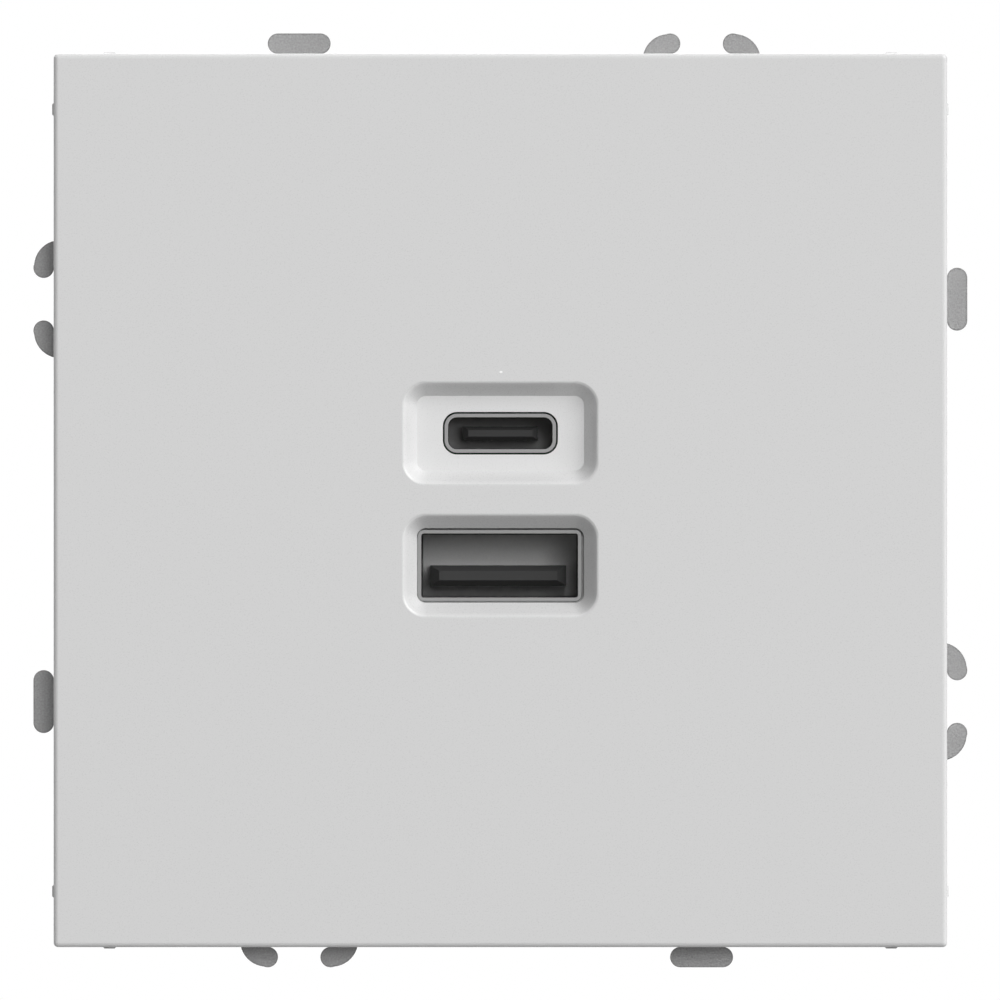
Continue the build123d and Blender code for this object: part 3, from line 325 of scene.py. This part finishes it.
# Housing: two mouldings in a grey flame-resistant plastic, clamped round the frame by four screws.
# The moulds are spark eroded, which leaves the plastic with a matt, slightly uneven skin.
housing_plastic = grained_finish(
    "housing_plastic", colour=(0.50, 0.50, 0.495), spread=0.04, grain=0.00030,
    metal=0.0, roughness=0.52, rough_spread=0.07, bump=0.000010,
)
dress(housing_plastic, "housing_front", "housing_rear")


# Terminals: a steel cage rises round each brass bar as its captive screw turns, and grips the wire.
# Cage and screw are plated steel, and the screw's thread is the same rolled one as the claw screw's.
dress(screw_steel, "terminal_clamp_line", "terminal_clamp_neutral")
terminal_head_height = 0.0021
for pole in ("line", "neutral"):
    head_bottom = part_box("terminal_screw_" + pole)[0].z
    threaded_screw(
        "threaded_terminal_screw_" + pole,
        "terminal_screw_" + pole,
        cut=Vector((0, 0, head_bottom + terminal_head_height)),
        outward=Vector((0, 0, 1)),
        length=0.0053,
        finish=screw_steel,
    )


# Circuit boards: glass-cloth laminate under a green solder mask, standing on posts in the housing.
# The cloth shows faintly through the mask as fine ribs half a millimetre apart.
def ribbed(finish, pitch, axis, depth):
    nodes = finish.node_tree.nodes
    links = finish.node_tree.links
    radians_per_unit = 20
    ribs = nodes.new("ShaderNodeTexWave")
    ribs.wave_type = "BANDS"
    ribs.bands_direction = axis
    ribs.inputs["Scale"].default_value = 2 * pi / (radians_per_unit * pitch)
    ribs.inputs["Distortion"].default_value = 0.3
    links.new(nodes["Texture Coordinate"].outputs["Object"], ribs.inputs["Vector"])
    relief = nodes.new("ShaderNodeBump")
    relief.inputs["Strength"].default_value = 0.5
    relief.inputs["Distance"].default_value = depth
    links.new(ribs.outputs["Fac"], relief.inputs["Height"])
    links.new(nodes["Bump"].outputs["Normal"], relief.inputs["Normal"])
    links.new(relief.outputs["Normal"], nodes["Principled BSDF"].inputs["Normal"])


board_mask = grained_finish(
    "board_mask", colour=(0.02, 0.13, 0.055), spread=0.14, grain=0.00025,
    metal=0.0, roughness=0.30, rough_spread=0.05, bump=0.000006,
)
ribbed(board_mask, pitch=0.0005, axis="X", depth=0.000008)
dress(board_mask, "port_board", "main_board")


# Power supply parts: ferrite cores, moulded chips, taped and enamelled windings, sleeved capacitors.
# They are soldered to the main board and the port board, and the closed housing hides them.
# Tape and wire show as ribs, one for each turn.
ferrite = grained_finish(
    "ferrite", colour=(0.05, 0.05, 0.055), spread=0.25, grain=0.00018,
    metal=0.1, roughness=0.75, rough_spread=0.08, bump=0.000012,
)
dress(ferrite, "transformer_core", "choke_core", "power_inductors")
chip_plastic = grained_finish(
    "chip_plastic", colour=(0.022, 0.022, 0.024), spread=0.2, grain=0.0001,
    metal=0.0, roughness=0.6, rough_spread=0.06, bump=0.000005,
)
dress(chip_plastic, "control_chips", "bridge_rectifier", "optocoupler", "board_header", "transformer_bobbin")
tape_film = grained_finish(
    "tape_film", colour=(0.72, 0.50, 0.05), spread=0.08, grain=0.0006,
    metal=0.0, roughness=0.22, rough_spread=0.06, bump=0.000004,
)
ribbed(tape_film, pitch=0.0016, axis="Z", depth=0.00002)
dress(tape_film, "transformer_winding")
film_case = grained_finish(
    "film_case", colour=(0.62, 0.44, 0.05), spread=0.06, grain=0.0003,
    metal=0.0, roughness=0.42, rough_spread=0.06, bump=0.000006,
)
dress(film_case, "line_capacitor")
copper_wire = grained_finish(
    "copper_wire", colour=(0.62, 0.25, 0.10), spread=0.1, grain=0.0002,
    metal=1.0, roughness=0.28, rough_spread=0.06, bump=0.000003,
)
ribbed(copper_wire, pitch=0.0003, axis="Y", depth=0.00006)
dress(copper_wire, "choke_winding")
black_sleeve = grained_finish(
    "black_sleeve", colour=(0.02, 0.02, 0.026), spread=0.2, grain=0.0005,
    metal=0.0, roughness=0.28, rough_spread=0.06, bump=0.000006,
)
dress(black_sleeve, "bulk_capacitors")
drawn_can = grained_finish(
    "drawn_can", colour=(0.62, 0.62, 0.63), spread=0.06, grain=0.0003,
    metal=1.0, roughness=0.34, rough_spread=0.08, bump=0.000004,
)
dress(drawn_can, "output_capacitors")
dipped_blue = grained_finish(
    "dipped_blue", colour=(0.03, 0.11, 0.36), spread=0.12, grain=0.0006,
    metal=0.0, roughness=0.26, rough_spread=0.06, bump=0.000015,
)
dress(dipped_blue, "safety_capacitor", "fuse_resistor")
gilt_pins = grained_finish(
    "gilt_pins", colour=(0.72, 0.55, 0.24), spread=0.06, grain=0.0001,
    metal=1.0, roughness=0.25, rough_spread=0.05, bump=0.000002,
)
dress(gilt_pins, "header_pins")


# Port shells: drawn and folded from 0.28 mm steel strip and nickel plated, one round each port.
# Their cut front edges are all that shows from the front, as a thin dull rim, and painted shade makes the
# insides darker.
# Each shade is given with its place, as a share of the reach behind the front.
def shaded_by_depth(finish, front, reach, shades):
    nodes = finish.node_tree.nodes
    links = finish.node_tree.links
    parts = nodes.new("ShaderNodeSeparateXYZ")
    links.new(nodes["Texture Coordinate"].outputs["Object"], parts.inputs["Vector"])
    depth = nodes.new("ShaderNodeMapRange")
    depth.inputs["From Min"].default_value = front
    depth.inputs["From Max"].default_value = front + reach
    links.new(parts.outputs["Y"], depth.inputs["Value"])
    skin = nodes.new("ShaderNodeValToRGB")
    skin.label = "Shade by depth"
    stops = skin.color_ramp.elements
    while len(stops) < len(shades):
        stops.new(0.5)
    for stop, (place, shade) in zip(stops, shades):
        stop.position = place
        stop.color = (shade, shade, shade, 1)
    links.new(depth.outputs["Result"], skin.inputs["Fac"])
    share, tint = tinted(finish, "MULTIPLY")
    share.default_value = 1.0
    links.new(skin.outputs["Color"], tint)


shell_nickel = grained_finish(
    "shell_nickel", colour=(0.22, 0.22, 0.22), spread=0.07, grain=0.00012,
    metal=0.35, roughness=0.45, rough_spread=0.06, bump=0.000004,
)
shell_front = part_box("usb_a_shell")[0].y
# Painted shade darkens the shells' insides behind the cut edge.
shell_painted_shades = [(0.0, 1.0), (0.3, 1.0), (0.5, 0.6)]
shaded_by_depth(shell_nickel, front=shell_front, reach=0.0004, shades=shell_painted_shades)
dress(shell_nickel, "usb_c_shell", "usb_a_shell")


# Port insulators: a black tongue that carries the contacts, moulded onto a block that closes the shell.
# The block is given a lighter grey, painted light for light falling on it deep in the port, and it starts
# where the tongue meets it.
# The contacts are plated strips, let flush into the tongue.
def black_before(finish, depth, black):
    nodes = finish.node_tree.nodes
    links = finish.node_tree.links
    parts = nodes.new("ShaderNodeSeparateXYZ")
    links.new(nodes["Texture Coordinate"].outputs["Object"], parts.inputs["Vector"])
    front = nodes.new("ShaderNodeMath")
    front.operation = "LESS_THAN"
    front.inputs[1].default_value = depth
    links.new(parts.outputs["Y"], front.inputs[0])
    share, tint = tinted(finish, "MIX")
    links.new(front.outputs[0], share)
    tint.default_value = (black, black, black, 1)
    nodes["Principled BSDF"].inputs["Specular IOR Level"].default_value = 0.15


plated_contact = grained_finish(
    "plated_contact", colour=(0.50, 0.49, 0.47), spread=0.06, grain=0.0001,
    metal=1.0, roughness=0.3, rough_spread=0.05, bump=0.000002,
)
dress(plated_contact, "usb_c_contacts", "usb_a_contacts")
# The block's light grey is painted light on the back of the type-C port.
usb_c_block_painted_light = grained_finish(
    "usb_c_block_painted_light", colour=(0.45, 0.45, 0.45), spread=0.04, grain=0.00012,
    metal=0.0, roughness=0.6, rough_spread=0.05, bump=0.000004,
)
black_before(usb_c_block_painted_light, depth=-0.0012, black=0.04)
dress(usb_c_block_painted_light, "usb_c_insulator")
# The block's light grey is painted light on the back of the type-A port.
usb_a_block_painted_light = grained_finish(
    "usb_a_block_painted_light", colour=(0.74, 0.74, 0.74), spread=0.04, grain=0.00012,
    metal=0.0, roughness=0.6, rough_spread=0.05, bump=0.000004,
)
black_before(usb_a_block_painted_light, depth=0.0012, black=0.04)
dress(usb_a_block_painted_light, "usb_a_insulator")


# Front cover: one moulding in light grey plastic, with a satin face and fine mould grain.
# It snaps onto the frame with four prongs, and its eight nubs hold the trim frame.
# The rounded edges are palest with a painted highlight, and the recesses are a little paler than the face
# with painted light.
cover_plastic = grained_finish(
    "cover_plastic", colour=(0.722, 0.722, 0.722), spread=0.009, grain=0.00011,
    metal=0.0, roughness=0.28, rough_spread=0.012, bump=0.000002, patches=0.06,
)
cover_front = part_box("front_cover")[0].y
# Painted light: the face is darkest, the rounded edges carry a painted highlight and the recesses painted
# light.
cover_painted_light = [(0.02, 0.877), (0.08, 1.0), (0.42, 1.0), (0.62, 0.947)]
shaded_by_depth(cover_plastic, front=cover_front, reach=0.0006, shades=cover_painted_light)
dress(cover_plastic, "front_cover")


# Dust seal: a soft lip moulded into the cover's type-A window, which closes the gap round the shell.
# It is all but flush with the shell's left edge and lies deeper on the other sides, deepest at the top.
# Only a narrow grey line of it shows.
def rounded_outline(middle, width, height, corner, steps):
    points = []
    for quarter in range(4):
        turn = quarter * pi / 2
        across = 1 if quarter in (0, 3) else -1
        up = 1 if quarter in (0, 1) else -1
        for step in range(steps + 1):
            angle = turn + step / steps * pi / 2
            x = middle.x + across * (width / 2 - corner) + corner * cos(angle)
            z = middle.z + up * (height / 2 - corner) + corner * sin(angle)
            points.append((x, z))
    return points


shell_low, shell_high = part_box("usb_a_shell")
shell_middle = (shell_low + shell_high) / 2
shell_size = shell_high - shell_low
seal_clearance = 0.00003
seal_steps = 6
seal_outline = rounded_outline(
    Vector((0, 0, shell_middle.z)), width=0.01327, height=0.00592, corner=0.00075, steps=seal_steps
)
seal_mouth = rounded_outline(
    shell_middle,
    width=shell_size.x + 2 * seal_clearance,
    height=shell_size.z + 2 * seal_clearance,
    corner=0.00051,
    steps=seal_steps,
)
right_top_left_bottom = [0.00045, 0.0009, 0.00003, 0.00025]
seal_fronts = []
for quarter in range(4):
    here = right_top_left_bottom[quarter]
    there = right_top_left_bottom[(quarter + 1) % 4]
    for step in range(seal_steps + 1):
        seal_fronts.append(shell_low.y + here + (there - here) * step / seal_steps)
seal_depth = 0.0012
seal_back = shell_low.y + seal_depth
ring = bmesh.new()
loops = []
for outline in (seal_outline, seal_mouth):
    loops.append([ring.verts.new((x, y, z)) for (x, z), y in zip(outline, seal_fronts)])
for outline in (seal_mouth, seal_outline):
    loops.append([ring.verts.new((x, seal_back, z)) for x, z in outline])
for first, second in zip(loops, loops[1:] + loops[:1]):
    count = len(first)
    for index in range(count):
        after = (index + 1) % count
        ring.faces.new((first[index], first[after], second[after], second[index]))
bmesh.ops.recalc_face_normals(ring, faces=ring.faces)
seal_rubber = grained_finish(
    "seal_rubber", colour=(0.55, 0.55, 0.55), spread=0.04, grain=0.00012,
    metal=0.0, roughness=0.7, rough_spread=0.05, bump=0.000003,
)
seal = finished_piece("dust_seal", ring, seal_rubber)
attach(seal, "cover")


# Indicator lens: the end of a clear light guide, a quarter of a millimetre wide, above the type-C port.
# It is pressed in from behind, and a crowned oval end inside a thin collar stands a hair proud of the face.
# Each ring of its profile is a share of the half size and a distance behind the face.
lens_half_width = 0.00013
lens_half_height = 0.00008
lens_middle = Vector((0.00005, cover_front, 0.01019))
lens_profile = [
    (1.0, 0.00004), (1.0, -0.000003), (0.93, -0.0000045), (0.84, -0.0000045), (0.80, -0.000002),
    (0.74, -0.000003), (0.58, -0.0000055), (0.34, -0.000007),
]
lens_sides = 24
crown = bmesh.new()
rings = []
for share, depth in lens_profile:
    corners = []
    for side in range(lens_sides):
        angle = side / lens_sides * 2 * pi
        across = share * lens_half_width * cos(angle)
        up = share * lens_half_height * sin(angle)
        corners.append(crown.verts.new(lens_middle + Vector((across, depth, up))))
    rings.append(corners)
for first, second in zip(rings, rings[1:]):
    for side in range(lens_sides):
        after = (side + 1) % lens_sides
        crown.faces.new((first[side], first[after], second[after], second[side]))
crown.faces.new(rings[0])
crown.faces.new(rings[-1])
bmesh.ops.recalc_face_normals(crown, faces=crown.faces)
# The lens's near-white colour is a painted highlight, standing in for a glint on the lens.
lens_painted_glint = grained_finish(
    "lens_painted_glint", colour=(0.95, 0.95, 0.95), spread=0.02, grain=0.0001,
    metal=0.0, roughness=0.2, rough_spread=0.04, bump=0.000001,
)
lens = finished_piece("indicator_lens", crown, lens_painted_glint)
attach(lens, "cover")


# Stage: a pale floor below the object and a white surround, which both show as white.
# They give less light than they show, and the floor keeps the object's shadow.
# Soft light comes from the upper right, with a weaker lamp in front and one behind.
def white_glow(nodes, strength):
    glow = nodes.new("ShaderNodeEmission")
    glow.inputs["Color"].default_value = (1, 1, 1, 1)
    glow.inputs["Strength"].default_value = strength
    return glow.outputs["Emission"]


def switched(tree, share, first, second):
    switch = tree.nodes.new("ShaderNodeMixShader")
    tree.links.new(share, switch.inputs["Fac"])
    tree.links.new(first, switch.inputs[1])
    tree.links.new(second, switch.inputs[2])
    return switch.outputs["Shader"]


def sun_lamp(name, energy, angle, toward):
    lamp = bpy.data.lights.new(name, "SUN")
    lamp.energy = energy
    lamp.angle = radians(angle)
    holder = bpy.data.objects.new(name, lamp)
    holder.rotation_mode = "QUATERNION"
    holder.rotation_quaternion = Vector(toward).to_track_quat("Z", "Y")
    bpy.context.scene.collection.objects.link(holder)


fill_strength = 0.185
white_strength = 1.0
floor_glow = 0.36

floor_paint = bpy.data.materials.new("floor_paint")
floor_paint.use_nodes = True
tree = floor_paint.node_tree
shader = tree.nodes["Principled BSDF"]
shader.inputs["Base Color"].default_value = (0.8, 0.8, 0.8, 1)
shader.inputs["Roughness"].default_value = 0.9
shader.inputs["Specular IOR Level"].default_value = 0.0
light_path = tree.nodes.new("ShaderNodeLightPath")
lit = tree.nodes.new("ShaderNodeAddShader")
tree.links.new(shader.outputs["BSDF"], lit.inputs[0])
tree.links.new(white_glow(tree.nodes, floor_glow), lit.inputs[1])
bounce = white_glow(tree.nodes, fill_strength)
paper = switched(tree, light_path.outputs["Is Diffuse Ray"], lit.outputs["Shader"], bounce)
mirrored = white_glow(tree.nodes, white_strength)
paper = switched(tree, light_path.outputs["Is Glossy Ray"], paper, mirrored)
tree.links.new(paper, tree.nodes["Material Output"].inputs["Surface"])

floor_level = -0.055
floor_corners = [(-1.2, -1.2), (1.2, -1.2), (1.2, 0.9), (-1.2, 0.9)]
sheet = bmesh.new()
sheet.faces.new([sheet.verts.new((x, y, floor_level)) for x, y in floor_corners])
floor = finished_piece("floor", sheet, floor_paint)

surround = bpy.data.worlds.new("surround")
surround.use_nodes = True
tree = surround.node_tree
fill = tree.nodes["Background"]
fill.inputs["Color"].default_value = (1, 1, 1, 1)
fill.inputs["Strength"].default_value = fill_strength
white = tree.nodes.new("ShaderNodeBackground")
white.inputs["Color"].default_value = (1, 1, 1, 1)
white.inputs["Strength"].default_value = white_strength
light_path = tree.nodes.new("ShaderNodeLightPath")
seen = light_path.outputs["Is Camera Ray"]
for ray in ("Is Glossy Ray", "Is Transmission Ray"):
    either = tree.nodes.new("ShaderNodeMath")
    either.operation = "MAXIMUM"
    tree.links.new(seen, either.inputs[0])
    tree.links.new(light_path.outputs[ray], either.inputs[1])
    seen = either.outputs[0]
backdrop = switched(tree, seen, fill.outputs["Background"], white.outputs["Background"])
tree.links.new(backdrop, tree.nodes["World Output"].inputs["Surface"])
bpy.context.scene.world = surround

sun_lamp("key_lamp", energy=2.5, angle=45, toward=(0.63, -0.575, 0.515))
sun_lamp("front_lamp", energy=0.80, angle=20, toward=(0.18, -0.96, 0.18))
sun_lamp("back_lamp", energy=1.6, angle=60, toward=(-0.35, 0.75, 0.55))


# Camera: square on to the face from far away, so that the front view has no visible perspective.
view_width = 0.079344
view_shift = 0.00003
camera_lens = bpy.data.cameras.new("front_camera")
camera_lens.sensor_width = 36.0
camera_lens.lens = 1600.0
camera_lens.clip_start = 0.1
camera_lens.clip_end = 10.0
camera = bpy.data.objects.new("front_camera", camera_lens)
distance = view_width / 2 / (camera_lens.sensor_width / 2 / camera_lens.lens)
camera.location = (-view_shift, cad_box[0][1] - distance, view_shift)
camera.rotation_euler = (radians(90), 0, 0)
bpy.context.scene.collection.objects.link(camera)
bpy.context.scene.camera = camera
bpy.context.scene.view_settings.view_transform = "Standard"

bpy.context.view_layer.update()
